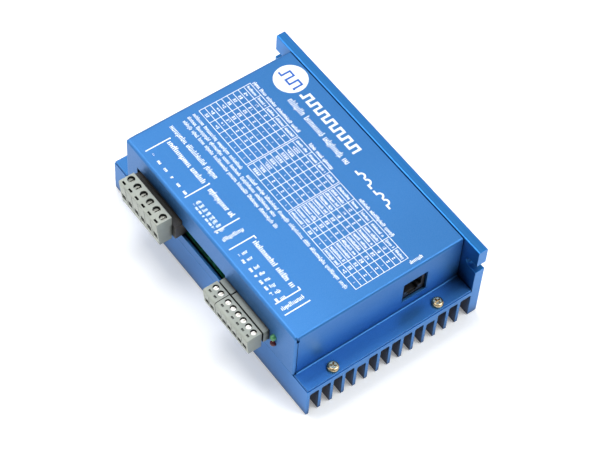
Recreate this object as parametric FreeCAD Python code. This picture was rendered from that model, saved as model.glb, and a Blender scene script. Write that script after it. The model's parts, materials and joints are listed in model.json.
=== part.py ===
import FreeCAD, Part
import math
import os

# Stepper driver module, in millimetres.
# X runs along the heatsink's fins, -Y faces the terminal blocks, +Y is the mounting flange
# and Z points up. The fin tips lie on Z = 0, and the origin is the bottom centre of the whole
# module with its plugs pushed home. Each named sub-part is written to parts/ as one STEP file.

# ---------------------------------------------------------------- driving dimensions
BODY_LENGTH = 151.0        # heatsink, along X
BODY_WIDTH = 97.0          # heatsink, along Y, flange included
FLANGE_TOP = 49.0          # height of the mounting flange
FLANGE_THICK = 5.0
COVER_TOP = 48.4
COVER_LENGTH = 130.2       # between the cover's outer end faces
SHEET = 1.2                # cover sheet thickness
PLUG_REACH = 12.0          # how far the plugs stand out of the front wall

# heatsink
BASE_TOP = 18.8
BASE_UNDER = 15.8          # underside of the base plate between fins
RIB_UNDER = 14.0           # underside where the base plate is thicker
RIB_GAPS = (4, 10)         # the fin gaps that have the thicker base plate
FIN_THICK = 1.65
FIN_PITCH = 6.49
GAP_COUNT = 14
ROOT_RADIUS = 0.8
EDGE_RADIUS = 0.6
SLOT_WIDTH = 5.2           # open mounting slots in the flange ends
SLOT_SPACING = 142.0       # between the slots' round ends, centre to centre
SLOT_HEIGHT = 36.5

# cover
BEND_RADIUS = 1.4
INNER_BEND = 0.4
FOOT_BEND = 0.8
SEAM = 0.3                 # open seam at the folded corners
RELIEF_RADIUS = 0.75
EDGE_GAP = 0.3             # cover to flange, and foot to heatsink edge
HAIRLINE = 0.15            # front wall to heatsink side plate
FOOT_TOP = BASE_TOP + SHEET
COVER_SCREW_X = 71.9
COVER_SCREW_Y = (-26.1, 32.3)
WINDOW_LOW = 25.0
WINDOW_HIGH_POWER = 36.9   # the window steps down along the front wall, over the power header,
WINDOW_HIGH_SWITCH = 34.2  # the switches
WINDOW_HIGH_SIGNAL = 32.75 # and the signal headers
WINDOW_CLEARANCE = 0.25

# printed circuit board
BOARD_THICK = 1.6
BOARD_TOP = 25.2
BOARD_HALF_LENGTH = 63.0
BOARD_SETBACK = 2.5        # board edge behind the front wall's outer face
STANDOFF_X = 59.5
STANDOFF_INSET = 7.0       # from the front wall, and from the flange plus one millimetre
LEG_LENGTH = 1.5           # how far leads stand out under the board

# M3 screws
M3_RADIUS = 1.5
M3_CLEAR = 1.6
M3_HEAD_RADIUS = 2.8
M3_HEAD_HEIGHT = 2.0
COVER_SCREW_LENGTH = 5.0
INNER_SCREW_LENGTH = 8.0

# serial jack, indicator lamps and switches
JACK_CENTRE_Y = 23.5
JACK_WIDTH = 13.4
JACK_TOP = 38.9
JACK_FACE_X = 63.6
JACK_DEPTH = 15.0
JACK_HOLLOW = (12.4, 4.95, (29.4, 36.8))     # depth, half width and heights of the plug hollow
JACK_NOTCH = (9.0, 3.1, (27.4, 29.6))        # the same for the latch notch below it
JACK_STEP = (1.0, 2.1, (26.6, 27.6))
LAMP_X = 50.4
LAMP_RADIUS = 1.5
LAMP_HEIGHTS = {"led_red": 27.3, "led_green": 31.7}
LAMP_DOME = -0.5           # centre of the lens dome, from the front wall's outer face
LAMP_BACK = 4.2
LAMP_LEG_HALF = 0.25
LAMP_LEG_SPREAD = 1.27
DIP_CENTRE_X = -8.6
DIP_PITCH = 2.54
DIP_COUNT = 8
DIP_TRAVEL = 1.6
DIP_SETBACK = 4.4
DIP_DEPTH = 6.0
DIP_HEIGHT = 8.4
DIP_KNOB = 1.6             # slider height
DIP_SLOT_LOW = 27.4

# power stage
TRANSISTOR_COUNT = 8
TRANSISTOR_PITCH = 14.0
PAD_THICK = 0.5
TAB_THICK = 1.3
TRANSISTOR_HALF = 5.0
TRANSISTOR_Z = (29.0, 38.2, 44.6)            # foot, top of the case, top of the tab
TRANSISTOR_CASE = 4.5
TRANSISTOR_LEG = (-2.54, 0.0, 2.54)
PAD_HALF = 55.0
PAD_Z = (28.5, 45.2)
CLAMP_HALF = 54.5
CLAMP_Z = (38.8, 45.0)
CLAMP_THICK = 2.5
CLAMP_SCREW_X = (-28.0, 0.0, 28.0)
CLAMP_SCREW_Z = 42.0

# ---------------------------------------------------------------- derived places
HALF_LENGTH = BODY_LENGTH / 2
COVER_END = COVER_LENGTH / 2
FRONT = (PLUG_REACH - BODY_WIDTH) / 2          # outer face of the front wall
BACK = FRONT + BODY_WIDTH                      # mounting face of the flange
FLANGE_INNER = BACK - FLANGE_THICK
BOARD_UNDER = BOARD_TOP - BOARD_THICK
LEG_END = BOARD_UNDER - LEG_LENGTH
PAD_FACE = FLANGE_INNER - PAD_THICK

X_AXIS = FreeCAD.Vector(1, 0, 0)
Y_AXIS = FreeCAD.Vector(0, 1, 0)
Z_AXIS = FreeCAD.Vector(0, 0, 1)

# Pluggable terminal blocks. Heights are absolute; "y" values count from the front wall's
# outer face, positive into the module. The screw lifts a clamp cage inside the plug.
POWER = {
    "pitch": 5.08, "plug_z": (23.0, 39.2), "plug_back": -3.7, "foot_y": -10.3, "front_radius": 0.6,
    "header_z": (25.2, 33.8), "header_y": (-3.5, 8.0), "header_over": 2.6,
    "header_wall": (2.4, 1.1, 2.0), "side": 2.45, "pin": 1.0, "pin_z": 29.55,
    "screw_y": -6.75, "screw_radius": 1.25, "screw_head": (1.7, 1.3), "seat_z": 36.4,
    "slot": (0.6, 0.7), "cage_half": (2.0, 2.3), "cage_z": (26.3, 27.1, 31.2, 33.0),
    "cage_travel": 2.25, "entry_half": 1.2, "entry_z": (27.3, 30.0), "bar": (1.2, 0.8),
    "test_half": 1.2, "test_y": (-11.1, -10.1), "test_deep": 3.0,
}
SIGNAL = {
    "pitch": 3.81, "plug_z": (22.9, 33.4), "plug_back": -4.1, "foot_y": -10.9, "front_radius": 1.2,
    "header_z": (25.2, 32.6), "header_y": (-3.05, 5.2), "header_over": 0.0,
    "header_wall": (0.7, 0.7, 1.4), "side": 2.55, "pin": 0.8, "pin_z": 27.2,
    "screw_y": -6.6, "screw_radius": 1.0, "screw_head": (1.35, 1.0), "seat_z": 31.5,
    "slot": (0.45, 0.5), "cage_half": (1.45, 1.5), "cage_z": (24.8, 25.3, 28.35, 29.35),
    "cage_travel": 1.2, "entry_half": 0.95, "entry_z": (25.4, 27.4), "bar": (0.9, 0.5),
    "test_half": 0.8, "test_y": (-10.2, -9.3), "test_deep": 0.5,
}
POWER_POLES = [-50.6 + POWER["pitch"] * i for i in range(6)]
SMALL_POLES = [15.8 + SIGNAL["pitch"] * i for i in range(2)]
LARGE_POLES = [25.05 + SIGNAL["pitch"] * i for i in range(6)]
PLUG_GAP = 0.2             # plug to header, all round
CAGE_GAP = 0.1             # cage to its cavity, all round
CAGE_WALL = 0.4
THREAD_GAP = 0.05          # radial, screw in its cage
HEAD_GAP = 0.15            # radial, screw head in its well
SEAT_GAP = 0.02            # under the screw head
SLEEVE_GAP = 0.15          # header pin in its sleeve, all round
SLEEVE_WALL = 0.3
PIN_START = -1.0
SLEEVE_Y = (-3.0, -2.4)    # front of the sleeve, and of the hole in it
BAR_END = -2.0


# ---------------------------------------------------------------- shape helpers
def block(x, y, z):
    """A box given by its low and high limits along X, Y and Z."""
    corner = FreeCAD.Vector(min(x), min(y), min(z))
    return Part.makeBox(abs(x[1] - x[0]), abs(y[1] - y[0]), abs(z[1] - z[0]), corner)


def rod_z(x, y, z, radius):
    return Part.makeCylinder(radius, z[1] - z[0], FreeCAD.Vector(x, y, z[0]), Z_AXIS)


def rod_y(x, y, z, radius):
    return Part.makeCylinder(radius, y[1] - y[0], FreeCAD.Vector(x, y[0], z), Y_AXIS)


def around(centre, half):
    return (centre - half, centre + half)


def from_front(limits):
    return (FRONT + limits[0], FRONT + limits[1])


def curve_of(edge):
    """The edge's curve, or None on the seam types that have no Python curve."""
    try:
        return edge.Curve
    except TypeError:
        return None


def straight_edges(shape, axis, where):
    """The straight edges parallel to axis whose middle passes the test."""
    found = []
    for edge in shape.Edges:
        curve = curve_of(edge)
        if isinstance(curve, Part.Line) and abs(curve.Direction.dot(axis)) > 0.999:
            if where(edge.CenterOfMass):
                found.append(edge)
    return found


def near(value, target):
    return abs(value - target) < 0.01


def rounded(shape, radius, axis, where):
    return shape.makeFillet(radius, straight_edges(shape, axis, where))


def union(shapes):
    return shapes[0].multiFuse(shapes[1:]).removeSplitter() if len(shapes) > 1 else shapes[0]


def group(shapes):
    return Part.makeCompound(shapes)


# ---------------------------------------------------------------- fasteners
def pan_screw(length):
    """An M3 cross-recess pan head screw, head up, with its seat at the origin."""
    head = Part.makeCylinder(M3_HEAD_RADIUS, M3_HEAD_HEIGHT)
    rim = [edge for edge in head.Edges
           if isinstance(edge.Curve, Part.Circle) and near(edge.CenterOfMass.z, M3_HEAD_HEIGHT)]
    head = head.makeFillet(1.1, rim)
    arms = [block((-1.6, 1.6), (-0.4, 0.4), (0.9, 2.5)), block((-0.4, 0.4), (-1.6, 1.6), (0.9, 2.5))]
    shank = Part.makeCylinder(M3_RADIUS, length, FreeCAD.Vector(0, 0, -length), Z_AXIS)
    return head.fuse(shank).removeSplitter().cut(arms)


def placed(shape, position, direction=Z_AXIS, turn=0.0):
    """A copy turned about its own Z, then pointed along direction and moved."""
    moved = shape.copy()
    spin = FreeCAD.Rotation(Z_AXIS, turn)
    moved.Placement = FreeCAD.Placement(position, FreeCAD.Rotation(Z_AXIS, direction).multiply(spin))
    return moved


def cover_screw_places():
    return [(side * COVER_SCREW_X, y) for side in (-1, 1) for y in COVER_SCREW_Y]


def standoff_places():
    rows = (FRONT + STANDOFF_INSET, FLANGE_INNER - STANDOFF_INSET - 1.0)
    return [(side * STANDOFF_X, y) for side in (-1, 1) for y in rows]


def make_cover_screws():
    screw = pan_screw(COVER_SCREW_LENGTH)
    turns = (20.0, 65.0, 48.0, 12.0)
    places = cover_screw_places()
    return group([placed(screw, FreeCAD.Vector(x, y, FOOT_TOP), Z_AXIS, turn)
                  for (x, y), turn in zip(places, turns)])


def make_inner_screws():
    screw = pan_screw(INNER_SCREW_LENGTH)
    board = [placed(screw, FreeCAD.Vector(x, y, BOARD_TOP)) for x, y in standoff_places()]
    seat_y = PAD_FACE - TAB_THICK - CLAMP_THICK
    clamp = [placed(screw, FreeCAD.Vector(x, seat_y, CLAMP_SCREW_Z), -Y_AXIS) for x in CLAMP_SCREW_X]
    return group(board + clamp)


# ---------------------------------------------------------------- heatsink
def fin_gap(index):
    low = FRONT + FIN_THICK + index * FIN_PITCH
    high = low + FIN_PITCH - FIN_THICK if index < GAP_COUNT - 1 else FLANGE_INNER
    under = RIB_UNDER if index in RIB_GAPS else BASE_UNDER
    gap = block((-HALF_LENGTH - 1, HALF_LENGTH + 1), (low, high), (-1, under))
    return rounded(gap, ROOT_RADIUS, X_AXIS, lambda p: near(p.z, under))


def flange_slot(side):
    """A slot through the flange, open at its end."""
    centre = side * SLOT_SPACING / 2
    through = (FLANGE_INNER - 1, BACK + 1)
    mouth = block((centre, side * (HALF_LENGTH + 1)), through, around(SLOT_HEIGHT, SLOT_WIDTH / 2))
    return mouth.fuse(rod_y(centre, through, SLOT_HEIGHT, SLOT_WIDTH / 2))


def make_heatsink():
    length = (-HALF_LENGTH, HALF_LENGTH)
    base = block(length, (FRONT, FLANGE_INNER), (0, BASE_TOP))
    flange = block(length, (FLANGE_INNER, BACK), (0, FLANGE_TOP))
    body = union([base, flange])
    body = rounded(body, EDGE_RADIUS, X_AXIS, lambda p: near(p.z, FLANGE_TOP) or near(p.z, 0))
    cuts = [fin_gap(index) for index in range(GAP_COUNT)]
    cuts += [flange_slot(side) for side in (-1, 1)]
    cuts += [rod_z(x, y, (BASE_UNDER - 1, BASE_TOP + 1), M3_CLEAR) for x, y in cover_screw_places()]
    cuts += [rod_z(x, y, (BASE_TOP - 2.2, BASE_TOP + 1), M3_CLEAR) for x, y in standoff_places()]
    blind = (FLANGE_INNER - 1, FLANGE_INNER + 3.9)
    cuts += [rod_y(x, blind, CLAMP_SCREW_Z, M3_CLEAR) for x in CLAMP_SCREW_X]
    return body.cut(cuts)


# ---------------------------------------------------------------- cover
def cover_shell():
    """The folded top, front and end walls, open below and towards the flange."""
    back = FLANGE_INNER - EDGE_GAP
    outer = block((-COVER_END, COVER_END), (FRONT, back), (BASE_TOP, COVER_TOP))
    outer = rounded(outer, BEND_RADIUS, Y_AXIS, lambda p: near(p.z, COVER_TOP))
    outer = outer.makeFillet(BEND_RADIUS, [edge for edge in outer.Edges
                                           if near(edge.CenterOfMass.y, FRONT)
                                           and edge.CenterOfMass.z > COVER_TOP - BEND_RADIUS - 0.01
                                           and edge.Length > BEND_RADIUS * 2])
    ceiling = COVER_TOP - SHEET
    half = COVER_END - SHEET
    inner = block((-half, half), (FRONT + SHEET, back + 1), (BASE_TOP - 1, ceiling))
    inner = rounded(inner, INNER_BEND, Y_AXIS, lambda p: near(p.z, ceiling))
    return outer.cut(inner)


def cover_foot(side):
    """An end foot on the heatsink, with the rounded bend where the end wall meets it."""
    x = (side * (COVER_END - SHEET), side * (HALF_LENGTH - EDGE_GAP))
    y = (FRONT + SHEET + SEAM, FLANGE_INNER - EDGE_GAP)
    foot = block(x, y, (BASE_TOP, FOOT_TOP))
    toe = block((side * (COVER_END + SEAM), x[1]), (FRONT + EDGE_GAP, FRONT + 3), (BASE_TOP, FOOT_TOP))
    bend_x = side * (COVER_END + FOOT_BEND)
    bend = block((side * (COVER_END - 0.2), bend_x), y, (FOOT_TOP - 0.2, FOOT_TOP + FOOT_BEND))
    bend = bend.cut(rod_y(bend_x, (y[0] - 1, y[1] + 1), FOOT_TOP + FOOT_BEND, FOOT_BEND))
    return union([foot, toe, bend])


def corner_seam(side):
    """The open seam and relief hole where the front wall meets an end wall."""
    y = FRONT + SHEET
    slit = block((side * (COVER_END - SHEET - 0.05), side * (COVER_END + 0.2)), (y, y + SEAM),
                 (BASE_TOP - 1, COVER_TOP - BEND_RADIUS))
    hole = rod_z(side * COVER_END, y + SEAM / 2, (COVER_TOP - 3.4, COVER_TOP + 1), RELIEF_RADIUS)
    return [slit, hole]


def front_window():
    """The stepped opening for both terminal headers and the switches between them."""
    through = (FRONT - 1, FRONT + SHEET + 0.5)
    left, power_end = header_x(POWER, POWER_POLES)
    signal_end = header_x(SIGNAL, SMALL_POLES)[0]
    right = header_x(SIGNAL, LARGE_POLES)[1]
    steps = ((power_end, WINDOW_HIGH_POWER), (signal_end, WINDOW_HIGH_SWITCH), (right, WINDOW_HIGH_SIGNAL))
    return union([block((left - WINDOW_CLEARANCE, end + WINDOW_CLEARANCE), through, (WINDOW_LOW, high))
                  for end, high in steps])


def make_cover():
    body = union([cover_shell(), cover_foot(-1), cover_foot(1)])
    cuts = corner_seam(-1) + corner_seam(1) + [front_window()]
    cuts.append(block((-COVER_END - 1, COVER_END + 1), (FRONT - 1, FRONT + SHEET),
                      (BASE_TOP - 1, BASE_TOP + HAIRLINE)))
    cuts += [rod_y(LAMP_X, (FRONT - 1, FRONT + SHEET + 0.5), z, LAMP_RADIUS + 0.15)
             for z in LAMP_HEIGHTS.values()]
    cuts.append(block((COVER_END - SHEET - 0.5, COVER_END + 1), around(JACK_CENTRE_Y, JACK_WIDTH / 2 + 0.1),
                      (BOARD_TOP + 0.4, JACK_TOP + 0.2)))
    cuts += [rod_z(x, y, (BASE_TOP - 1, FOOT_TOP + 1), M3_CLEAR + 0.1) for x, y in cover_screw_places()]
    return body.cut(cuts)


# ---------------------------------------------------------------- pluggable terminal blocks
def plug_x(kind, poles):
    return (poles[0] - kind["side"], poles[-1] + kind["side"])


def header_x(kind, poles):
    low, high = plug_x(kind, poles)
    return (low - kind["header_over"], high + kind["header_over"])


def inset(limits, amount):
    return (limits[0] + amount, limits[1] - amount)


def header_cavity(kind, poles):
    """Limits of the hollow that takes the plug's nose, open towards -Y."""
    wall_x, wall_z, wall_y = kind["header_wall"]
    y = from_front(kind["header_y"])
    return inset(header_x(kind, poles), wall_x), (y[0] - 1, y[1] - wall_y), inset(kind["header_z"], wall_z)


def pin_body(kind, x):
    """A bent square pin: from the header's hollow, through its back wall, down through the board."""
    half = kind["pin"] / 2
    back = FRONT + kind["header_y"][1]
    run = block(around(x, half), (FRONT + PIN_START, back + kind["pin"] + 0.2), around(kind["pin_z"], half))
    drop = block(around(x, half), (back + 0.2, back + kind["pin"] + 0.2), (LEG_END, kind["pin_z"] + half))
    return union([run, drop])


def pin_foot_y(kind):
    return FRONT + kind["header_y"][1] + 0.2 + kind["pin"] / 2


def make_header(kind, poles):
    shell = block(header_x(kind, poles), from_front(kind["header_y"]), kind["header_z"])
    shell = rounded(shell, 0.4, Y_AXIS, lambda p: True)
    return shell.cut([block(*header_cavity(kind, poles))] + [pin_body(kind, x) for x in poles])


def cage_body(kind, x):
    """The clamp cage: a window for the wire under a threaded top wall."""
    half_x, half_y = kind["cage_half"]
    foot, sill, lintel, top = kind["cage_z"]
    y = around(FRONT + kind["screw_y"], half_y)
    cage = block(around(x, half_x), y, (foot, top))
    cage = rounded(cage, 0.3, Y_AXIS, lambda p: True)
    window = block(around(x, half_x - CAGE_WALL), (y[0] - 1, y[1] + 1), (sill, lintel))
    thread = rod_z(x, FRONT + kind["screw_y"], (lintel - 1, top + 1), kind["screw_radius"] + THREAD_GAP)
    return cage.cut([window, thread])


def sleeve_inner(kind):
    return kind["pin"] / 2 + SLEEVE_GAP


def bar_top(kind):
    return kind["pin_z"] + sleeve_inner(kind) + kind["bar"][1]


def terminal_screw(kind, x):
    """A slotted screw whose head turns just clear of the shoulder in its well."""
    head_radius, head_height = kind["screw_head"]
    slot_half, slot_deep = kind["slot"]
    y = FRONT + kind["screw_y"]
    seat = kind["seat_z"] + SEAT_GAP
    head = rod_z(x, y, (seat, seat + head_height), head_radius)
    rim = [edge for edge in head.Edges
           if isinstance(edge.Curve, Part.Circle) and near(edge.CenterOfMass.z, seat + head_height)]
    head = head.makeFillet(0.2, rim)
    shank = rod_z(x, y, (bar_top(kind) + 0.1, seat), kind["screw_radius"])
    slot = block(around(x, slot_half / 2), around(y, head_radius + 1),
                 (seat + head_height - slot_deep, seat + head_height + 1))
    return union([head, shank]).cut(slot)


def contact_body(kind, x):
    """The current bar inside the cage and the square sleeve that grips the header's pin."""
    inner = sleeve_inner(kind)
    outer = inner + SLEEVE_WALL
    nose_end = header_cavity(kind, [x])[1][1] - 0.9
    bar_y = (FRONT + kind["screw_y"] - kind["cage_half"][1] + 0.4, FRONT + BAR_END)
    bar = block(around(x, kind["bar"][0]), bar_y, (kind["pin_z"] + inner, bar_top(kind)))
    sleeve = block(around(x, outer), (FRONT + SLEEVE_Y[0], nose_end), around(kind["pin_z"], outer))
    hole = block(around(x, inner), (FRONT + SLEEVE_Y[1], nose_end + 1), around(kind["pin_z"], inner))
    return union([bar, sleeve]).cut(hole)


def front_face_y(kind, z):
    """The plug's front face leans back from its top edge to its foot."""
    low, high = kind["plug_z"]
    lean = (kind["foot_y"] + PLUG_REACH) / (high - low)
    return FRONT - PLUG_REACH + lean * (high - z)


def front_strip(kind, x, depth):
    """Everything in front of the leaning face, and a skin of it depth thick."""
    low, high = kind["plug_z"][0] - 1, kind["plug_z"][1] + 1
    outside = FRONT - PLUG_REACH - 2
    corners = [(outside, low), (front_face_y(kind, low) + depth, low),
               (front_face_y(kind, high) + depth, high), (outside, high), (outside, low)]
    profile = Part.makePolygon([FreeCAD.Vector(x[0], y, z) for y, z in corners])
    return Part.Face(profile).extrude(FreeCAD.Vector(x[1] - x[0], 0, 0))


def pole_cuts(kind, x):
    """What one pole takes out of the plug's body."""
    half_x, half_y = kind["cage_half"]
    y = FRONT + kind["screw_y"]
    outside = FRONT - PLUG_REACH - 1
    foot, top = kind["cage_z"][0], kind["cage_z"][3] + kind["cage_travel"]
    plug_top = kind["plug_z"][1]
    well = rod_z(x, y, (kind["seat_z"], plug_top + 1), kind["screw_head"][0] + HEAD_GAP)
    neck = rod_z(x, y, (top, kind["seat_z"] + 0.1), kind["screw_radius"] + CAGE_GAP)
    hollow = block(around(x, half_x + CAGE_GAP), around(y, half_y + CAGE_GAP),
                   (foot - CAGE_GAP, top + CAGE_GAP))
    entry = block(around(x, kind["entry_half"]), (outside, y), kind["entry_z"])
    face = front_face_y(kind, sum(kind["entry_z"]) / 2)
    funnel = block(around(x, kind["entry_half"] + 0.35), (outside, face + 0.5), inset(kind["entry_z"], -0.4))
    funnel = rounded(funnel, 0.5, Y_AXIS, lambda p: p.z > kind["entry_z"][0] + 1)
    test = block(around(x, kind["test_half"]), from_front(kind["test_y"]),
                 (plug_top - kind["test_deep"], plug_top + 1))
    mouth = block(around(x, sleeve_inner(kind)), (FRONT + SLEEVE_Y[1], FRONT + kind["header_y"][1]),
                  around(kind["pin_z"], sleeve_inner(kind)))
    return [well, neck, hollow, entry, funnel, test, mouth]


def make_plug(kind, poles):
    """The plug's moulded body: a head outside the wall and a nose inside the header."""
    width = plug_x(kind, poles)
    head = block(width, from_front((-PLUG_REACH, kind["plug_back"])), kind["plug_z"])
    head = head.cut(front_strip(kind, width, 0.0))
    head = rounded(head, kind["front_radius"], X_AXIS,
                   lambda p: near(p.z, kind["plug_z"][1]) and near(p.y, FRONT - PLUG_REACH))
    cavity_x, cavity_y, cavity_z = header_cavity(kind, poles)
    nose = block(inset(cavity_x, PLUG_GAP), (FRONT + kind["plug_back"] - 0.5, cavity_y[1] - 2 * PLUG_GAP),
                 inset(cavity_z, PLUG_GAP))
    body = union([head, nose])
    cuts = []
    for x in poles:
        cuts += pole_cuts(kind, x)
        cuts.append(contact_body(kind, x))
    below_round = block((width[0] - 1, width[1] + 1), (FRONT - PLUG_REACH - 3, FRONT),
                        (kind["plug_z"][0] - 2, kind["plug_z"][1] - kind["front_radius"]))
    grooves = [front_strip(kind, around((a + b) / 2, 0.12), 0.25).common(below_round)
               for a, b in zip(poles, poles[1:])]
    return body.cut(cuts + grooves)


# ---------------------------------------------------------------- board and what is on it
def make_board():
    board = block((-BOARD_HALF_LENGTH, BOARD_HALF_LENGTH), (FRONT + BOARD_SETBACK, FLANGE_INNER - 1.5),
                  (BOARD_UNDER, BOARD_TOP))
    through = (BOARD_UNDER - 1, BOARD_TOP + 1)
    holes = [rod_z(x, y, through, M3_CLEAR) for x, y in standoff_places()]
    for kind, poles in ((POWER, POWER_POLES), (SIGNAL, SMALL_POLES + LARGE_POLES)):
        radius = kind["pin"] / 2 * math.sqrt(2) + 0.1
        holes += [rod_z(x, pin_foot_y(kind), through, radius) for x in poles]
    holes += [rod_z(x, transistor_leg_y(), through, 0.65) for x in transistor_leg_x()]
    holes += [rod_z(LAMP_X + side * LAMP_LEG_SPREAD, lamp_leg_y(name), through, LAMP_LEG_HALF + 0.2)
              for name in LAMP_HEIGHTS for side in (-1, 1)]
    return board.cut(holes)


def make_standoffs():
    pieces = []
    for x, y in standoff_places():
        corners = [FreeCAD.Vector(x + 2.9 * math.cos(math.radians(60 * i)),
                                  y + 2.9 * math.sin(math.radians(60 * i)), BASE_TOP) for i in range(7)]
        hexagon = Part.Face(Part.makePolygon(corners))
        pillar = hexagon.extrude(FreeCAD.Vector(0, 0, BOARD_UNDER - BASE_TOP))
        pieces.append(pillar.cut(rod_z(x, y, (BASE_TOP - 1, BOARD_UNDER + 1), M3_CLEAR)))
    return group(pieces)


def transistor_x():
    first = -TRANSISTOR_PITCH * (TRANSISTOR_COUNT - 1) / 2
    return [first + TRANSISTOR_PITCH * i for i in range(TRANSISTOR_COUNT)]


def transistor_leg_x():
    return [x + offset for x in transistor_x() for offset in TRANSISTOR_LEG]


def transistor_leg_y():
    return PAD_FACE - 2.6


def make_transistors():
    """Eight power transistors, their metal tabs flat against the thermal pad."""
    foot, case_top, tab_top = TRANSISTOR_Z
    pieces = []
    for x in transistor_x():
        width = around(x, TRANSISTOR_HALF)
        tab = block(width, (PAD_FACE - TAB_THICK, PAD_FACE), (foot, tab_top))
        case = block(width, (PAD_FACE - TRANSISTOR_CASE, PAD_FACE), (foot, case_top))
        legs = [block(around(x + offset, 0.4), around(transistor_leg_y(), 0.25), (LEG_END, foot))
                for offset in TRANSISTOR_LEG]
        pieces.append(union([tab, case] + legs))
    return group(pieces)


def make_thermal_pad():
    pad = block((-PAD_HALF, PAD_HALF), (PAD_FACE, FLANGE_INNER), PAD_Z)
    through = (PAD_FACE - 1, FLANGE_INNER + 1)
    return pad.cut([rod_y(x, through, CLAMP_SCREW_Z, M3_CLEAR + 0.2) for x in CLAMP_SCREW_X])


def make_clamp():
    y = (PAD_FACE - TAB_THICK - CLAMP_THICK, PAD_FACE - TAB_THICK)
    bar = block((-CLAMP_HALF, CLAMP_HALF), y, CLAMP_Z)
    return bar.cut([rod_y(x, (y[0] - 1, y[1] + 1), CLAMP_SCREW_Z, M3_CLEAR) for x in CLAMP_SCREW_X])


def make_capacitors():
    """Smoothing capacitors: cans with a crimped groove near the base."""
    pieces = []
    for x in (-48.0, -27.0, -6.0, 15.0):
        y = FRONT + 32.0
        can = rod_z(x, y, (BOARD_TOP, BOARD_TOP + 20.0), 9.0)
        rim = [edge for edge in can.Edges
               if isinstance(edge.Curve, Part.Circle) and near(edge.CenterOfMass.z, BOARD_TOP + 20.0)]
        can = can.makeFillet(0.8, rim)
        ring = rod_z(x, y, (BOARD_TOP + 1.6, BOARD_TOP + 2.4), 9.5)
        pieces.append(can.cut(ring.cut(rod_z(x, y, (BOARD_TOP + 1, BOARD_TOP + 3), 8.5))))
    return group(pieces)


def make_board_chips():
    """Controller, isolators, regulator and choke, as packages on the board."""
    low = BOARD_TOP
    controller = block(around(30.0, 7.0), around(14.0, 7.0), (low, low + 1.4))
    drivers = [block(around(x, 3.0), around(26.0, 2.4), (low, low + 1.8)) for x in (-42.0, -14.0, 14.0)]
    isolators = [block(around(x, 2.3), around(FRONT + 16.0, 3.3), (low, low + 3.4))
                 for x in (18.0, 25.0, 32.0, 39.0)]
    regulator = block(around(-50.0, 4.0), around(8.0, 3.2), (low, low + 2.4))
    choke = rod_z(40.0, -6.0, (low, low + 8.0), 5.5)
    crystal = rounded(block(around(44.0, 5.2), around(8.0, 2.2), (low, low + 3.4)),
                      2.0, Z_AXIS, lambda p: True)
    return group([controller, regulator, choke, crystal] + drivers + isolators)


# ---------------------------------------------------------------- switches, lamps and jack
def dip_x(index):
    return DIP_CENTRE_X + DIP_PITCH * (index - (DIP_COUNT - 1) / 2)


def make_dip_body():
    face = FRONT + DIP_SETBACK
    body = block(around(DIP_CENTRE_X, DIP_PITCH * DIP_COUNT / 2 + 0.6), (face, face + DIP_DEPTH),
                 (BOARD_TOP, BOARD_TOP + DIP_HEIGHT))
    slot_z = (DIP_SLOT_LOW, DIP_SLOT_LOW + DIP_KNOB + DIP_TRAVEL + 0.3)
    return body.cut([block(around(dip_x(i), 0.75), (face - 1, face + 2.2), slot_z)
                     for i in range(DIP_COUNT)])


def make_dip_slider(index):
    face = FRONT + DIP_SETBACK
    low = DIP_SLOT_LOW + 0.15
    knob = block(around(dip_x(index), 0.6), (face - 0.6, face + 2.0), (low, low + DIP_KNOB))
    return rounded(knob, 0.15, X_AXIS, lambda p: near(p.y, face - 0.6))


def lamp_leg_y(name):
    return FRONT + (6.6 if name == "led_red" else 8.6)


def make_lamp(name):
    """A 3 mm lamp through the front wall, with its leads bent down to the board."""
    z = LAMP_HEIGHTS[name]
    y = lamp_leg_y(name)
    back = FRONT + LAMP_BACK
    lens = rod_y(LAMP_X, (FRONT + LAMP_DOME - 0.2, back), z, LAMP_RADIUS)
    dome = Part.makeSphere(LAMP_RADIUS, FreeCAD.Vector(LAMP_X, FRONT + LAMP_DOME, z))
    collar = rod_y(LAMP_X, (back - 1.0, back), z, LAMP_RADIUS + 0.35)
    leads = []
    for side in (-1, 1):
        x = around(LAMP_X + side * LAMP_LEG_SPREAD, LAMP_LEG_HALF)
        leads.append(block(x, (back - 0.2, y + LAMP_LEG_HALF), around(z, LAMP_LEG_HALF)))
        leads.append(block(x, around(y, LAMP_LEG_HALF), (LEG_END, z + LAMP_LEG_HALF)))
    return union([lens, dome, collar] + leads)


def make_serial_jack():
    """A six-way modular jack: plug hollow above, latch notch below, open towards +X."""
    x = (JACK_FACE_X - JACK_DEPTH, JACK_FACE_X)
    body = block(x, around(JACK_CENTRE_Y, JACK_WIDTH / 2), (BOARD_TOP, JACK_TOP))
    return body.cut([block((x[1] - depth, x[1] + 1), around(JACK_CENTRE_Y, half), z)
                     for depth, half, z in (JACK_HOLLOW, JACK_NOTCH, JACK_STEP)])


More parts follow.
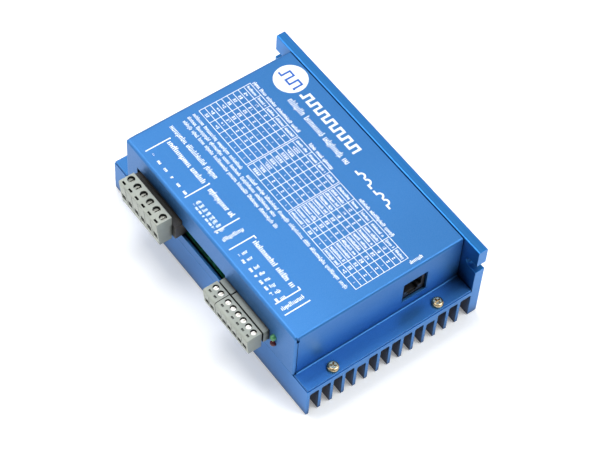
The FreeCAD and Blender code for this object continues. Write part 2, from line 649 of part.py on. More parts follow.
# ---------------------------------------------------------------- all sub-parts
def build():
    parts = {
        "heatsink": make_heatsink(),
        "cover": make_cover(),
        "cover_screws": make_cover_screws(),
        "inner_screws": make_inner_screws(),
        "main_board": make_board(),
        "board_standoffs": make_standoffs(),
        "power_header": make_header(POWER, POWER_POLES),
        "signal_headers": group([make_header(SIGNAL, SMALL_POLES), make_header(SIGNAL, LARGE_POLES)]),
        "header_pins": group([pin_body(POWER, x) for x in POWER_POLES]
                             + [pin_body(SIGNAL, x) for x in SMALL_POLES + LARGE_POLES]),
        "power_plug": make_plug(POWER, POWER_POLES),
        "power_contacts": group([contact_body(POWER, x) for x in POWER_POLES]),
        "signal_plug_small": make_plug(SIGNAL, SMALL_POLES),
        "signal_contacts_small": group([contact_body(SIGNAL, x) for x in SMALL_POLES]),
        "signal_plug_large": make_plug(SIGNAL, LARGE_POLES),
        "signal_contacts_large": group([contact_body(SIGNAL, x) for x in LARGE_POLES]),
        "dip_body": make_dip_body(),
        "led_green": make_lamp("led_green"),
        "led_red": make_lamp("led_red"),
        "serial_jack": make_serial_jack(),
        "capacitors": make_capacitors(),
        "transistors": make_transistors(),
        "transistor_clamp": make_clamp(),
        "thermal_pad": make_thermal_pad(),
        "board_chips": make_board_chips(),
    }
    for number, x in enumerate(POWER_POLES, 1):
        parts["power_screw_%d" % number] = terminal_screw(POWER, x)
        parts["power_cage_%d" % number] = cage_body(POWER, x)
    for number, x in enumerate(SMALL_POLES + LARGE_POLES, 1):
        parts["signal_screw_%d" % number] = terminal_screw(SIGNAL, x)
        parts["signal_cage_%d" % number] = cage_body(SIGNAL, x)
    for index in range(DIP_COUNT):
        parts["dip_slider_%d" % (index + 1)] = make_dip_slider(index)
    return parts


os.makedirs("parts", exist_ok=True)
for node, shape in build().items():
    if not shape.isValid():
        print("not valid:", node)
    shape.exportStep("parts/%s.step" % node)
    print(node, len(shape.Solids), round(shape.Volume, 1))
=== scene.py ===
import json
import math
import random

import bpy
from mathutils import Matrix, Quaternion, Vector


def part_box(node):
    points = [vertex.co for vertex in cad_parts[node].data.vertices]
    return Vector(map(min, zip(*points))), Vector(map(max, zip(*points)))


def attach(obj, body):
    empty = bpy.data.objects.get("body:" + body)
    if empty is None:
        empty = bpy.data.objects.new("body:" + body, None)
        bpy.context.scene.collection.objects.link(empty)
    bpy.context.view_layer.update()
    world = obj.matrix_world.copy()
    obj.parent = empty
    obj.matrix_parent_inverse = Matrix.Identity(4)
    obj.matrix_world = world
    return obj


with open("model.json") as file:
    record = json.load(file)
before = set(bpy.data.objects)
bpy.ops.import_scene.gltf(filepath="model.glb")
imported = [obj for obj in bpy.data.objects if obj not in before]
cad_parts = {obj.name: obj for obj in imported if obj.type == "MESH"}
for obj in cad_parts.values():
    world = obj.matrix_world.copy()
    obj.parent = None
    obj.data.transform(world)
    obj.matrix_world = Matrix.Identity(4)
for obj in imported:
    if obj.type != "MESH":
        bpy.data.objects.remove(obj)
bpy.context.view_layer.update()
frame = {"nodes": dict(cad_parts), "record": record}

# Looks of a stepper driver module: blue folded cover on a finned heatsink, grey pluggable
# terminal blocks, white screen print. The object's lengths are millimetres, and MM turns them
# into Blender's metres. Lights, the floor and the materials' small lengths are in metres.
# Places come from the CAD nodes' boxes.

MM = 0.001
CHASSIS = "chassis"


# ---------------------------------------------------------------- places read from the frame
def node_box(name):
    """Lowest and highest corner of a CAD node, in millimetres."""
    low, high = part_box(name)
    return low / MM, high / MM


def solid_piece(name, points, faces, material):
    """A mesh object from points in millimetres."""
    mesh = bpy.data.meshes.new(name)
    mesh.from_pydata([Vector(point) * MM for point in points], [], faces)
    mesh.validate()
    piece = bpy.data.objects.new(name, mesh)
    bpy.context.scene.collection.objects.link(piece)
    piece.data.materials.append(material)
    return piece


COVER_LOW, COVER_HIGH = node_box("cover")
SINK_LOW, SINK_HIGH = node_box("heatsink")
JACK_LOW, JACK_HIGH = node_box("serial_jack")
LID = COVER_HIGH.z


# ---------------------------------------------------------------- camera, floor and light
AZIMUTH = 50.0             # degrees, 0 looks along +Y
ELEVATION = 54.9
ROLL = 4.4
DISTANCE = 924.0
LENS = 122.0
AIM_OFFSET = Vector((5.1, -0.9, 0.0))      # from the middle of the heatsink
NEAR_CLIP, FAR_CLIP = 0.01, 20.0

SKY_COLOUR = (0.96, 0.98, 1.0, 1.0)
SKY_LEFT = 0.85            # strength towards -X and towards +X
SKY_RIGHT = 0.3
SKY_EDGE = 0.9             # how far across the sky the fade reaches
SOFTBOXES = (              # name, place, size, radiance, colour
    ("softbox_top", (-0.455, 0.0, 1.22), 0.55, 8.0, (1.0, 1.0, 1.0)),
    ("key_front", (-0.9, -1.1, 0.95), 0.8, 2.8, (1.0, 1.0, 1.0)),
    ("softbox_right", (0.57, 0.48, 1.07), 0.6, 7.2, (0.93, 0.97, 1.0)),
)
FLOOR_HALF = 3.0
FLOOR_GAP = 0.0002
FLOOR_GLOW = 0.2


def make_camera():
    around, up = math.radians(AZIMUTH), math.radians(ELEVATION)
    level_reach = math.cos(up)
    back = Vector((math.sin(around) * level_reach, -math.cos(around) * level_reach, math.sin(up)))
    aim = (SINK_LOW + SINK_HIGH) / 2 + AIM_OFFSET
    data = bpy.data.cameras.new("camera")
    data.lens = LENS
    data.clip_start = NEAR_CLIP
    data.clip_end = FAR_CLIP
    camera = bpy.data.objects.new("camera", data)
    camera.location = (aim + back * DISTANCE) * MM
    camera.rotation_mode = "QUATERNION"
    unrolled = (-back).to_track_quat("-Z", "Y")
    camera.rotation_quaternion = Quaternion(back, math.radians(ROLL)) @ unrolled
    bpy.context.scene.collection.objects.link(camera)
    bpy.context.scene.camera = camera


def area_light(name, place, size, radiance, colour):
    """A square softbox that faces the object. Radiance is what a mirror would show."""
    data = bpy.data.lights.new(name, "AREA")
    data.shape = "SQUARE"
    data.size = size
    data.energy = radiance * math.pi * size * size
    data.color = colour
    light = bpy.data.objects.new(name, data)
    light.location = place
    light.rotation_mode = "QUATERNION"
    light.rotation_quaternion = (-Vector(place)).to_track_quat("-Z", "Y")
    bpy.context.scene.collection.objects.link(light)


def make_sky():
    """Even white light that fades towards +X."""
    world = bpy.data.worlds.new("studio")
    world.use_nodes = True
    tree = world.node_tree
    sky = tree.nodes["Background"]
    sky.inputs["Color"].default_value = SKY_COLOUR
    direction = tree.nodes.new("ShaderNodeTexCoord").outputs["Generated"]
    split = tree.nodes.new("ShaderNodeSeparateXYZ")
    fade = tree.nodes.new("ShaderNodeMapRange")
    fade.inputs["From Min"].default_value = -SKY_EDGE
    fade.inputs["From Max"].default_value = SKY_EDGE
    fade.inputs["To Min"].default_value = SKY_LEFT
    fade.inputs["To Max"].default_value = SKY_RIGHT
    tree.links.new(direction, split.inputs[0])
    tree.links.new(split.outputs["X"], fade.inputs["Value"])
    tree.links.new(fade.outputs["Result"], sky.inputs["Strength"])
    bpy.context.scene.world = world


def make_studio():
    make_sky()
    bpy.context.scene.view_settings.view_transform = "Standard"
    for softbox in SOFTBOXES:
        area_light(*softbox)


def make_floor():
    low, high = -FLOOR_HALF, FLOOR_HALF
    corners = [(low, low, 0), (high, low, 0), (high, high, 0), (low, high, 0)]
    mesh = bpy.data.meshes.new("floor")
    mesh.from_pydata(corners, [], [(0, 1, 2, 3)])
    floor = bpy.data.objects.new("floor", mesh)
    floor.location.z = SINK_LOW.z * MM - FLOOR_GAP
    bpy.context.scene.collection.objects.link(floor)
    floor.data.materials.append(plain_floor())


# ---------------------------------------------------------------- material helpers
def srgb(red, green, blue):
    """A linear colour from 0 to 255 display values."""
    def channel(value):
        value = value / 255
        return value / 12.92 if value <= 0.04045 else ((value + 0.055) / 1.055) ** 2.4
    return (channel(red), channel(green), channel(blue), 1.0)


class Surface:
    """A Principled material that is built node by node. Its coordinates and lengths are metres."""

    def __init__(self, name, **shader):
        self.material = bpy.data.materials.new(name)
        self.material.use_nodes = True
        self.tree = self.material.node_tree
        self.shader = self.tree.nodes["Principled BSDF"]
        self.coords = self.add("ShaderNodeTexCoord").outputs["Object"]
        self.set(self.shader, shader)

    def feed(self, socket, value):
        """Links another node's output to the socket, or sets a fixed value on it."""
        if isinstance(value, bpy.types.NodeSocket):
            self.tree.links.new(value, socket)
        else:
            socket.default_value = value

    def set(self, node, values):
        for key, value in values.items():
            self.feed(node.inputs[key.replace("_", " ")], value)

    def add(self, kind, values=None, **settings):
        node = self.tree.nodes.new(kind)
        for key, value in settings.items():
            setattr(node, key, value)
        self.set(node, values or {})
        return node

    def stretched(self, scale):
        """Object coordinates scaled unevenly, for grain that runs one way."""
        node = self.add("ShaderNodeMapping", {"Vector": self.coords})
        node.inputs["Scale"].default_value = scale
        return node.outputs["Vector"]

    def noise(self, scale, detail=3.0, vector=None):
        values = {"Vector": vector or self.coords, "Scale": scale, "Detail": detail}
        return self.add("ShaderNodeTexNoise", values).outputs["Fac"]

    def ramp(self, factor, stops):
        """Colour or grey stops: [(position, colour), ...]."""
        node = self.add("ShaderNodeValToRGB", {"Fac": factor})
        elements = node.color_ramp.elements
        while len(elements) < len(stops):
            elements.new(0.5)
        for element, (position, colour) in zip(elements, stops):
            element.position = position
            element.color = colour if isinstance(colour, tuple) else (colour, colour, colour, 1.0)
        return node.outputs["Color"]

    def mix(self, factor, first, second):
        """The first colour where factor is 0, the second where it is 1."""
        node = self.add("ShaderNodeMix", {"Factor": factor}, data_type="RGBA")
        colours = [socket for socket in node.inputs if socket.type == "RGBA"]
        for socket, value in zip(colours, (first, second)):
            self.feed(socket, value)
        return next(socket for socket in node.outputs if socket.type == "RGBA")

    def span(self, factor, low, high):
        """Maps 0 to 1 onto low to high."""
        node = self.add("ShaderNodeMapRange", {"Value": factor, "To Min": low, "To Max": high})
        return node.outputs["Result"]

    def bump(self, height, strength, distance, normal=None):
        values = {"Height": height, "Strength": strength, "Distance": distance}
        if normal is not None:
            values["Normal"] = normal
        return self.add("ShaderNodeBump", values).outputs["Normal"]

    def soft_edges(self, radius=0.00022):
        """A normal that rounds sharp edges a little, so they catch the light."""
        return self.add("ShaderNodeBevel", {"Radius": radius}, samples=6).outputs["Normal"]

    def closed_in(self, reach, low, high):
        """Mask for painted shade: 1 where walls within reach leave less than low of the view open, 0 from
        high upwards.
        """
        node = self.add("ShaderNodeAmbientOcclusion", {"Distance": reach}, samples=8)
        return self.ramp(node.outputs["AO"], [(low, 1.0), (high, 0.0)])

    def finish(self, **sockets):
        self.set(self.shader, sockets)
        return self.material


def plain_floor():
    s = Surface("studio_floor", Roughness=0.9, Emission_Color=(1.0, 1.0, 1.0, 1.0),
                Emission_Strength=FLOOR_GLOW)
    soft = s.ramp(s.noise(3.0), [(0.3, (0.93, 0.93, 0.94, 1)), (0.7, (0.95, 0.95, 0.955, 1))])
    return s.finish(Base_Color=soft)


# ---------------------------------------------------------------- materials of the object
def cover_paint():
    """Blue metallic powder coat: fine grain, slightly uneven gloss under a thin clear coat. Painted shade
    darkens it in creases and in sheltered places such as the window sill.
    """
    s = Surface("cover_paint", Metallic=0.88, Coat_Weight=0.2, Coat_Roughness=0.42)
    tone = s.ramp(s.noise(14.0), [(0.35, (0.012, 0.138, 0.39, 1)), (0.65, (0.018, 0.157, 0.435, 1))])
    speck = s.noise(2600.0, 2.0)
    colour = s.mix(s.span(speck, 0.0, 0.22), tone, (0.21, 0.35, 0.60, 1))
    # painted shade: near-black blue in creases and narrow gaps
    crease_painted_shade = s.closed_in(0.003, 0.2, 0.7)
    colour = s.mix(crease_painted_shade, colour, (0.001, 0.012, 0.05, 1))
    # painted shade: darker still where walls within 14 mm close the surface in, as on the window sill
    sheltered_painted_shade = s.closed_in(0.014, 0.22, 0.48)
    colour = s.mix(sheltered_painted_shade, colour, (0.0005, 0.006, 0.025, 1))
    rough = s.span(s.noise(900.0, 4.0), 0.4, 0.54)
    grain = s.bump(s.noise(1700.0, 3.0), 0.22, 0.00006, s.soft_edges())
    return s.finish(Base_Color=colour, Roughness=rough, Normal=grain)


def anodised_extrusion():
    """Blue anodised aluminium with faint die lines along the extrusion, and painted shade deep in the gaps
    between the fins.
    """
    s = Surface("anodised_extrusion", Metallic=0.85)
    lines = s.noise(1.0, 3.0, s.stretched((12.0, 900.0, 900.0)))
    tone = s.ramp(s.noise(20.0), [(0.35, (0.012, 0.155, 0.45, 1)), (0.65, (0.018, 0.175, 0.50, 1))])
    colour = s.mix(s.span(lines, 0.0, 0.16), tone, (0.16, 0.36, 0.66, 1))
    # painted shade: near-black navy in the gaps between fins
    fin_gap_painted_shade = s.closed_in(0.012, 0.3, 0.8)
    colour = s.mix(fin_gap_painted_shade, colour, (0.0005, 0.006, 0.035, 1))
    rough = s.span(lines, 0.26, 0.4)
    grain = s.bump(s.noise(2200.0, 2.0), 0.12, 0.00005, s.soft_edges())
    grain = s.bump(lines, 0.15, 0.00004, grain)
    return s.finish(Base_Color=colour, Roughness=rough, Normal=grain)


def print_ink():
    """White screen print, a little thin in places."""
    s = Surface("print_ink", Roughness=0.55)
    thin = s.ramp(s.noise(1100.0, 3.0), [(0.3, srgb(205, 218, 232)), (0.55, srgb(240, 244, 248))])
    return s.finish(Base_Color=thin, Normal=s.bump(s.noise(3000.0), 0.1, 0.00002))


def moulded(name, dark, light, rough, peel=0.25, reach=0.003):
    """Moulded plastic: spark-eroded texture, slight flow marks, and painted shade that darkens holes and
    gaps within reach.
    """
    s = Surface(name, IOR=1.46)
    colour = s.ramp(s.noise(90.0, 4.0), [(0.3, dark), (0.7, light)])
    # painted shade: near-black in holes, screw wells and narrow gaps
    hole_painted_shade = s.closed_in(reach, 0.5, 0.86)
    colour = s.mix(hole_painted_shade, colour, (0.006, 0.007, 0.006, 1))
    gloss = s.span(s.noise(1500.0, 2.0), rough - 0.06, rough + 0.08)
    texture = s.bump(s.noise(5200.0, 2.0), peel, 0.00003, s.soft_edges())
    return s.finish(Base_Color=colour, Roughness=gloss, Normal=texture)


def plated(name, dark, light, rough):
    """Plated metal: fine polishing marks, patchy brightness."""
    s = Surface(name, Metallic=1.0)
    marks = s.noise(1.0, 4.0, s.stretched((2400.0, 2400.0, 160.0)))
    colour = s.ramp(s.noise(420.0, 3.0), [(0.3, dark), (0.7, light)])
    gloss = s.span(marks, rough - 0.07, rough + 0.12)
    return s.finish(Base_Color=colour, Roughness=gloss, Normal=s.bump(marks, 0.12, 0.00003))


def solder_mask():
    """Green solder mask over copper: tracks show as lighter raised lines."""
    s = Surface("solder_mask", IOR=1.5, Coat_Weight=0.35, Coat_Roughness=0.12)
    cells = s.add("ShaderNodeTexVoronoi", {"Vector": s.coords, "Scale": 210.0},
                  feature="DISTANCE_TO_EDGE").outputs["Distance"]
    track = s.ramp(cells, [(0.03, 1.0), (0.06, 0.0)])
    colour = s.mix(track, srgb(10, 70, 48), srgb(28, 112, 74))
    gloss = s.span(s.noise(300.0), 0.28, 0.4)
    return s.finish(Base_Color=colour, Roughness=gloss, Normal=s.bump(track, 0.3, 0.00003))


def tinted_lens(name, colour, glow):
    s = Surface(name, Transmission_Weight=0.35, IOR=1.49)
    tone = s.ramp(s.noise(700.0), [(0.3, colour), (0.7, glow)])
    gloss = s.span(s.noise(1200.0), 0.12, 0.22)
    return s.finish(Base_Color=tone, Roughness=gloss, Normal=s.bump(s.noise(900.0), 0.05, 0.00002))


def capacitor_sleeve():
    """Dark shrink sleeve with a pale stripe down one side of each can."""
    s = Surface("capacitor_sleeve", Coat_Weight=0.3, Coat_Roughness=0.2)
    band = s.add("ShaderNodeTexWave", {"Vector": s.coords, "Scale": 15.0, "Distortion": 0.0}).outputs["Fac"]
    stripe = s.ramp(band, [(0.93, 0.0), (0.95, 1.0)])
    colour = s.mix(stripe, srgb(20, 22, 34), srgb(150, 156, 162))
    gloss = s.span(s.noise(500.0), 0.25, 0.38)
    return s.finish(Base_Color=colour, Roughness=gloss, Normal=s.bump(s.noise(700.0), 0.15, 0.00004))


def make_materials():
    return {
        "painted_blue": cover_paint(),
        "anodised_blue": anodised_extrusion(),
        "print": print_ink(),
        "print_blue": moulded("print_blue", srgb(10, 84, 176), srgb(20, 98, 194), 0.45),
        "terminal_grey": moulded("terminal_grey", srgb(154, 159, 150), srgb(170, 174, 164), 0.5),
        "black_moulding": moulded("black_moulding", srgb(22, 22, 24), srgb(34, 34, 37), 0.42),
        "white_slider": moulded("white_slider", srgb(222, 222, 214), srgb(240, 240, 234), 0.4),
        "transistor_case": moulded("transistor_case", srgb(26, 26, 27), srgb(38, 38, 40), 0.5),
        "thermal_pad": moulded("thermal_pad", srgb(150, 156, 160), srgb(170, 176, 180), 0.7, 0.5),
        "nickel_screw": plated("nickel_screw", srgb(168, 144, 106), srgb(232, 212, 172), 0.24),
        "terminal_screw": plated("terminal_screw", srgb(196, 192, 182), srgb(232, 230, 224), 0.3),
        # power screws: a rougher copy of the screw metal whose darker colour is painted shade of their deep
        # wells
        "dull_screw_painted_shade": plated("dull_screw_painted_shade", srgb(134, 136, 130), srgb(176, 178, 170), 0.5),
        # wire clamps: their near-black colour is painted shade, for they sit inside the plug's wire entries
        "clamp_steel": plated("clamp_steel", srgb(34, 34, 36), srgb(58, 58, 60), 0.5),
        # painted shade: a darker copy of the terminal grey for the power header, which sits shaded between
        # plug and wall; its shade reaches further
        "header_grey_painted_shade": moulded("header_grey_painted_shade", srgb(88, 84, 82), srgb(106, 102, 98), 0.5, reach=0.009),
        "tinned_pin": plated("tinned_pin", srgb(176, 176, 174), srgb(214, 214, 212), 0.33),
        "contact_brass": plated("contact_brass", srgb(176, 138, 72), srgb(212, 178, 104), 0.3),
        "gold": plated("contact_gold", srgb(214, 168, 74), srgb(244, 206, 120), 0.2),
        "bare_aluminium": plated("bare_aluminium", srgb(176, 178, 182), srgb(206, 208, 212), 0.36),
        "circuit_board": solder_mask(),
        "green_lens": tinted_lens("green_lens", srgb(70, 160, 92), srgb(130, 205, 140)),
        "red_lens": tinted_lens("red_lens", srgb(84, 14, 26), srgb(128, 30, 44)),
        "capacitor_sleeve": capacitor_sleeve(),
    }


def look_of(name, slot):
    """A CAD node wears its slot's material, but the power screws and their header wear darker copies of
    theirs, as painted shade.
    """
    if name.startswith("power_screw_"):
        # painted shade: the power screws sit deep in wells
        return "dull_screw_painted_shade"
    if name == "power_header":
        return "header_grey_painted_shade"
    return slot


def dress_cad_nodes(materials):
    slots = {row["node"]: row["material_slot"] for row in frame["record"]["subparts"]}
    for name, piece in frame["nodes"].items():
        piece.data.materials.clear()
        piece.data.materials.append(materials[look_of(name, slots[name])])


# ---------------------------------------------------------------- screen print on the lid
# The print is laid out from the middle of the cover along X and from its front wall along Y.
MIDDLE = (COVER_LOW.x + COVER_HIGH.x) / 2
FRONT = COVER_LOW.y
INK_TOP = 0.035            # above the lid
INK_SUNK = -0.02
LINE = 0.3                 # width of a ruled line

BADGE = (-51.0, 82.3, 8.35)                        # middle and radius
BADGE_PULSE_TOP = 0.06                             # it lies over the badge
BADGE_PULSE = (-57.4, -44.6, 79.4, 5.8, 0.95, 2)   # ends, base, height, stroke, pulses
TITLE_PULSES = (-41.0, 0.3, 79.7, 5.0, 1.2, 7)
COILS = ((8.2, 20.4, 75.3, 2.1, 0.95, 2),          # ends, base, radius, stroke, loops
         (21.6, 33.8, 75.3, 2.1, 0.95, 2))

TABLE_TOP = 65.25
HEADING_FOOT = 61.5        # the first row holds the headings
ROW_HEIGHT = 3.125
ROW_COUNT = 8
TABLES = (                 # column lines, then what each column holds: a first number, bits or codes
    ((-59.5, -51.0, -43.5, -36.8, -30.0, -22.3), (24, 17, "bit", "bit", "bit")),
    ((-21.4, -11.4, -4.5, 2.2, 9.0), (4000, "bit", "bit", "bit")),
    ((9.9, 20.3, 27.2, 34.3, 45.3, 51.9, 59.0), ("code", 10, "bit", "code", 12, "bit")),
)
TABLE_TITLES = ((-58.9, -23.5), (-15.6, 1.9), (21.9, 46.5))
TABLE_TITLE_BASE = 66.3

NOTES = (                  # base of the line, then where its stretches start and end
    (32.7, ((-59.3, -21.4), (-17.2, 56.5))),
    (29.8, ((-59.3, 7.8),)),
    (26.7, ((-58.5, 13.6),)),
)
VOLTAGE_NOTE = (-59.4, 20.1, 35.7)                 # start, base and length

LABEL_LOW = 3.5            # foot of the brackets by the terminals
LABEL_HIGH = 17.1
LABEL_BASE = 14.1          # base of the words in the brackets
LABEL_GAP = 0.6            # bracket to its words
BRACKETS = (               # the two uprights, then the stretch left for words
    (-54.1, -23.0, (-53.0, -24.2)),
    (11.1, 45.3, (13.4, 42.9)),
)
LABEL_WORDS = ((-52.6, -24.6), (-20.6, -2.2), (13.6, 42.7))
LONE_UPRIGHTS = (-0.2, 52.2)
POLE_NUMBER = (1.1, 1.6, 2.2, 0.24)                # right of the pole, above LABEL_LOW, height, stroke
POLE_WORD = (1.0, 3.4, 1.8, 0.2)
SWITCH_NUMBER = (0.8, 1.0, 1.8, 0.26)
SWITCH_WORD = (0.8, 2.4, 1.6, 0.22)
POLE_WORD_LENGTH = 2.8
SWITCH_WORD_LENGTH = 2.6
SIDE_WORDS = (             # x, y, length and height of words that run along Y
    (6.4, 4.1, 11.0, 2.2),
    (49.9, 4.1, 12.6, 2.2),
    (62.3, 64.3, 7.0, 1.9),
)


class Print:
    """Thin closed slabs of ink on the lid, gathered into one mesh."""

    def __init__(self, name, top=INK_TOP):
        self.name = name
        self.top = top
        self.points = []
        self.faces = []

    def add_point(self, x, y, rise):
        self.points.append((MIDDLE + x, FRONT + y, LID + rise))

    def slab(self, outline):
        """A filled outline, anticlockwise."""
        first, count = len(self.points), len(outline)
        for rise in (INK_SUNK, self.top):
            for x, y in outline:
                self.add_point(x, y, rise)
        self.faces.append([first + i for i in reversed(range(count))])
        self.faces.append([first + count + i for i in range(count)])
        for i in range(count):
            j = (i + 1) % count
            self.faces.append([first + i, first + j, first + count + j, first + count + i])

    def bar(self, x0, y0, x1, y1):
        self.slab([(x0, y0), (x1, y0), (x1, y1), (x0, y1)])

    def arc(self, x, y, inner, outer, start, end, steps=16):
        """A flat bent strip with square ends."""
        first = len(self.points)
        section = ((inner, INK_SUNK), (outer, INK_SUNK), (outer, self.top), (inner, self.top))
        for i in range(steps + 1):
            angle = math.radians(start + (end - start) * i / steps)
            for radius, rise in section:
                self.add_point(x + radius * math.cos(angle), y + radius * math.sin(angle), rise)
        for i in range(steps):
            here, ahead = first + 4 * i, first + 4 * (i + 1)
            for k in range(4):
                n = (k + 1) % 4
                self.faces.append([here + k, here + n, ahead + n, ahead + k])
        self.faces.append([first, first + 3, first + 2, first + 1])
        last = first + 4 * steps
        self.faces.append([last, last + 1, last + 2, last + 3])

    def disc(self, x, y, radius, steps=64):
        angles = [2 * math.pi / steps * i for i in range(steps)]
        self.slab([(x + radius * math.cos(angle), y + radius * math.sin(angle)) for angle in angles])

    def piece(self, material):
        piece = solid_piece(self.name, self.points, self.faces, material)
        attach(piece, CHASSIS)


class Line:
    """A writing line on the lid: along +X, or turned to run along +Y."""

    def __init__(self, ink, x, y, upright=False):
        self.ink = ink
        self.x = x
        self.y = y
        self.upright = upright

    def bar(self, u0, v0, u1, v1):
        if self.upright:
            self.ink.bar(self.x - v1, self.y + u0, self.x - v0, self.y + u1)
        else:
            self.ink.bar(self.x + u0, self.y + v0, self.x + u1, self.y + v1)


# shares of the line's height
SHORT = 0.72               # height of a short stroke
DROP = 0.25                # how far a hanging stroke goes below the line
STROKE_GAP = 0.17
GROUP_GAP = 0.45
GROUP_SIZE = (7, 17)       # strokes in a group, fewest and most
HANG_CHANCE = 0.06
TALL_CHANCE = 0.25
JOIN_CHANCE = 0.55         # that a stroke is joined to the next


def hatched(line, length, height, dice, stroke):
    """Stand-in for a line of words: groups of plain strokes of uneven height that spell nothing."""
    step = height * (stroke + STROKE_GAP)
    width = height * stroke
    position = 0.0
    while position + width <= length:
        for _ in range(dice.randint(*GROUP_SIZE)):
            if position + width > length:
                break
            low = -DROP * height if dice.random() < HANG_CHANCE else 0.0
            high = height * (1.0 if dice.random() < TALL_CHANCE else SHORT)
            line.bar(position, low, position + width, high)
            if dice.random() < JOIN_CHANCE:
                level = dice.choice((0.0, 0.3, SHORT - stroke)) * height
                if position + step <= length:
                    line.bar(position + width, level, position + step, level + width)
            position += step
        position += height * GROUP_GAP


# the segments of a seven-segment display that each digit from 0 to 9 lights
SEGMENTS = ("abcdef", "bc", "abdeg", "abcdg", "bcfg", "acdfg", "acdefg", "abc", "abcdefg", "abcdfg")
DIGIT_WIDTH = 0.55         # width of a digit and step to the next, as shares of its height
DIGIT_STEP = 0.8


def digit(line, u, value, width, height, stroke):
    """A seven-segment numeral."""
    middle = height / 2
    places = {
        "a": (0, height - stroke, width, height), "d": (0, 0, width, stroke),
        "g": (0, middle - stroke / 2, width, middle + stroke / 2),
        "b": (width - stroke, middle + stroke / 2, width, height - stroke),
        "c": (width - stroke, stroke, width, middle - stroke / 2),
        "f": (0, middle + stroke / 2, stroke, height - stroke),
        "e": (0, stroke, stroke, middle - stroke / 2),
    }
    for name in SEGMENTS[value]:
        u0, v0, u1, v1 = places[name]
        line.bar(u + u0, v0, u + u1, v1)


def numeral(line, number, height, stroke):
    """A whole number, centred on the start of the line."""
    digits = [int(character) for character in str(number)]
    width, step = height * DIGIT_WIDTH, height * DIGIT_STEP
    start = -(step * (len(digits) - 1) + width) / 2
    for i, value in enumerate(digits):
        digit(line, start + i * step, value, width, height, height * stroke)


def table_lines(ink, edges, rows):
    """A ruled grid. Edges are its column lines from left to right, rows from the top down."""
    for y in rows:
        ink.bar(edges[0] - LINE / 2, y - LINE / 2, edges[-1] + LINE / 2, y + LINE / 2)
    for x in edges:
        for top, bottom in zip(rows, rows[1:]):
            ink.bar(x - LINE / 2, bottom + LINE / 2, x + LINE / 2, top - LINE / 2)


CELL_TEXT = 1.5            # height of the text in a cell
HEADING_ROOM = 0.78        # share of the cell's width
CODE_ROOM = 0.86


def fill_cell(ink, kind, row, x0, x1, y0, y1, dice):
    """Headings are hatched; below them come rising numbers, switch bits or hatched codes."""
    middle = (x0 + x1) / 2
    base = (y0 + y1 - CELL_TEXT) / 2
    if row == 0 or kind == "code":
        room = (x1 - x0) * (HEADING_ROOM if row == 0 else CODE_ROOM)
        hatched(Line(ink, middle - room / 2, base), room, CELL_TEXT, dice, 0.2)
    elif kind == "bit":
        numeral(Line(ink, middle, base), (row - 1) >> dice.randrange(3) & 1, CELL_TEXT, 0.22)
    else:
        rise = max(4, kind // 6)
        numeral(Line(ink, middle, base), kind + (row - 1) * rise, CELL_TEXT, 0.2)


def make_tables(ink, dice):
    rows = [TABLE_TOP] + [HEADING_FOOT - ROW_HEIGHT * i for i in range(ROW_COUNT + 1)]
    for edges, kinds in TABLES:
        table_lines(ink, edges, rows)
        for row, (top, bottom) in enumerate(zip(rows, rows[1:])):
            for kind, x0, x1 in zip(kinds, edges, edges[1:]):
                fill_cell(ink, kind, row, x0, x1, bottom, top, dice)
    for x0, x1 in TABLE_TITLES:
        hatched(Line(ink, x0, TABLE_TITLE_BASE), x1 - x0, 1.8, dice, 0.18)


def make_notes(ink, dice):
    for y, spans in NOTES:
        for x0, x1 in spans:
            hatched(Line(ink, x0, y), x1 - x0, 1.9, dice, 0.15)
    x, y, length = VOLTAGE_NOTE
    hatched(Line(ink, x, y), length, 2.5, dice, 0.15)


def pulse_train(ink, x0, x1, y, height, stroke, pulses):
    """A square wave, drawn as one bold line: low, then high for half of each period."""
    period = (x1 - x0) / pulses
    for i in range(pulses):
        left = x0 + i * period
        rise, fall = left + period * 0.3, left + period * 0.8
        ink.bar(left, y, rise, y + stroke)
        ink.bar(rise, y, rise + stroke, y + height)
        ink.bar(rise + stroke, y + height - stroke, fall, y + height)
        ink.bar(fall, y, fall + stroke, y + height)
        if fall + stroke < left + period:
            ink.bar(fall + stroke, y, left + period, y + stroke)


def coil_symbol(ink, x0, x1, y, radius, stroke, loops):
    """A motor winding: a row of half rings between two leads."""
    lead = (x1 - x0 - loops * 2 * radius) / 2
    ink.bar(x0, y - stroke, x0 + lead + stroke, y)
    for i in range(loops):
        ink.arc(x0 + lead + radius * (2 * i + 1), y, radius - stroke, radius, 0.0, 180.0)
    ink.bar(x1 - lead - stroke, y - stroke, x1, y)


def upright(ink, x):
    ink.bar(x - LINE, LABEL_LOW, x + LINE, LABEL_HIGH)


def bracket(ink, x0, x1, words):
    """Two uprights turned in towards the words between them."""
    upright(ink, x0)
    upright(ink, x1)
    ink.bar(x0 + LINE, LABEL_HIGH - 2 * LINE, words[0] - LABEL_GAP, LABEL_HIGH)
    ink.bar(words[1] + LABEL_GAP, LABEL_HIGH - 2 * LINE, x1 - LINE, LABEL_HIGH)


def column_places(prefix, count):
    """Number and X of the middle of each numbered CAD node, X from the middle of the cover."""
    boxes = [(number, node_box(prefix + str(number))) for number in range(1, count + 1)]
    return [(number, (low.x + high.x) / 2 - MIDDLE) for number, (low, high) in boxes]


def pole_number(ink, x, number, look):
    right, up, height, stroke = look
    numeral(Line(ink, x + right, LABEL_LOW + up, True), number, height, stroke)


def pole_word(ink, x, length, look, dice):
    right, up, height, stroke = look
    hatched(Line(ink, x + right, LABEL_LOW + up, True), length, height, dice, stroke)


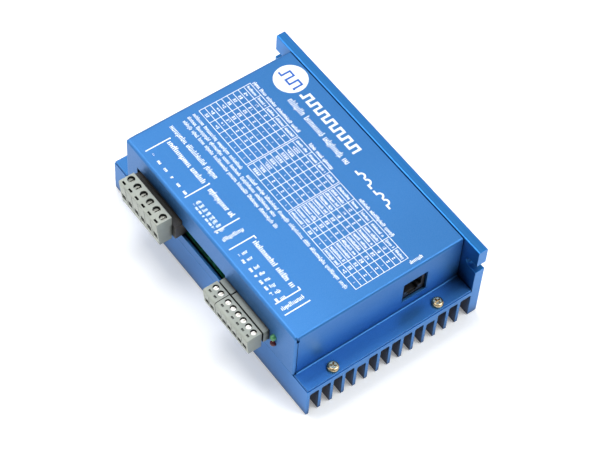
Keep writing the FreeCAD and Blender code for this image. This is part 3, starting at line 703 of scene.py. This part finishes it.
def connector_labels(ink, dice):
    """Brackets, numbers and words beside the terminals, the switches, the lamps and the jack."""
    for x0, x1, words in BRACKETS:
        bracket(ink, x0, x1, words)
    for x0, x1 in LABEL_WORDS:
        hatched(Line(ink, x0, LABEL_BASE), x1 - x0, 2.7, dice, 0.2)
    for x in LONE_UPRIGHTS:
        upright(ink, x)
    for number, x in column_places("power_screw_", 6):
        pole_number(ink, x, number, POLE_NUMBER)
    for number, x in column_places("signal_screw_", 8):
        pole_number(ink, x, number, POLE_NUMBER)
        pole_word(ink, x, POLE_WORD_LENGTH, POLE_WORD, dice)
    for number, x in column_places("dip_slider_", 8):
        pole_number(ink, x, number, SWITCH_NUMBER)
        pole_word(ink, x, SWITCH_WORD_LENGTH, SWITCH_WORD, dice)
    for x, y, length, height in SIDE_WORDS:
        hatched(Line(ink, x, y, True), length, height, dice, 0.17)


def make_print(materials):
    dice = random.Random(7)
    badge = Print("lid_badge")
    badge.disc(*BADGE)
    badge.piece(materials["print"])
    pulse = Print("lid_badge_pulse", BADGE_PULSE_TOP)
    pulse_train(pulse, *BADGE_PULSE)
    pulse.piece(materials["print_blue"])
    titles = Print("lid_titles")
    pulse_train(titles, *TITLE_PULSES)
    for coil in COILS:
        coil_symbol(titles, *coil)
    hatched(Line(titles, -41.5, 73.4), 45.0, 3.1, dice, 0.13)
    titles.piece(materials["print"])
    layers = (("lid_tables", make_tables), ("lid_notes", make_notes),
              ("lid_connector_labels", connector_labels))
    for name, fill in layers:
        ink = Print(name)
        fill(ink, dice)
        ink.piece(materials["print"])


# ---------------------------------------------------------------- contacts of the serial jack
WIRE_COUNT = 6
WIRE_PITCH = 1.02
WIRE_HALF = 0.22           # half the wire's thickness
WIRE_BENDS = ((-2.6, -2.3), (-3.4, -2.7), (-10.0, -5.5))   # from the jack's mouth and its roof


def make_jack_contacts(materials):
    """Six sprung wires that slope down from the roof of the plug hollow."""
    middle = (JACK_LOW.y + JACK_HIGH.y) / 2
    points, faces = [], []
    for i in range(WIRE_COUNT):
        y = middle + (i - (WIRE_COUNT - 1) / 2) * WIRE_PITCH
        first = len(points)
        for inward, down in WIRE_BENDS:
            x, z = JACK_HIGH.x + inward, JACK_HIGH.z + down
            points += [(x, y - WIRE_HALF, z - WIRE_HALF), (x, y + WIRE_HALF, z - WIRE_HALF),
                       (x, y + WIRE_HALF, z + WIRE_HALF), (x, y - WIRE_HALF, z + WIRE_HALF)]
        for ring in (first, first + 4):
            for k in range(4):
                n = (k + 1) % 4
                faces.append([ring + k, ring + 4 + k, ring + 4 + n, ring + n])
        faces.append([first, first + 1, first + 2, first + 3])
        faces.append([first + 11, first + 10, first + 9, first + 8])
    piece = solid_piece("jack_contacts", points, faces, materials["gold"])
    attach(piece, CHASSIS)


# ---------------------------------------------------------------- putting it together
make_camera()
make_studio()
make_floor()
MATERIALS = make_materials()
dress_cad_nodes(MATERIALS)
make_print(MATERIALS)
make_jack_contacts(MATERIALS)
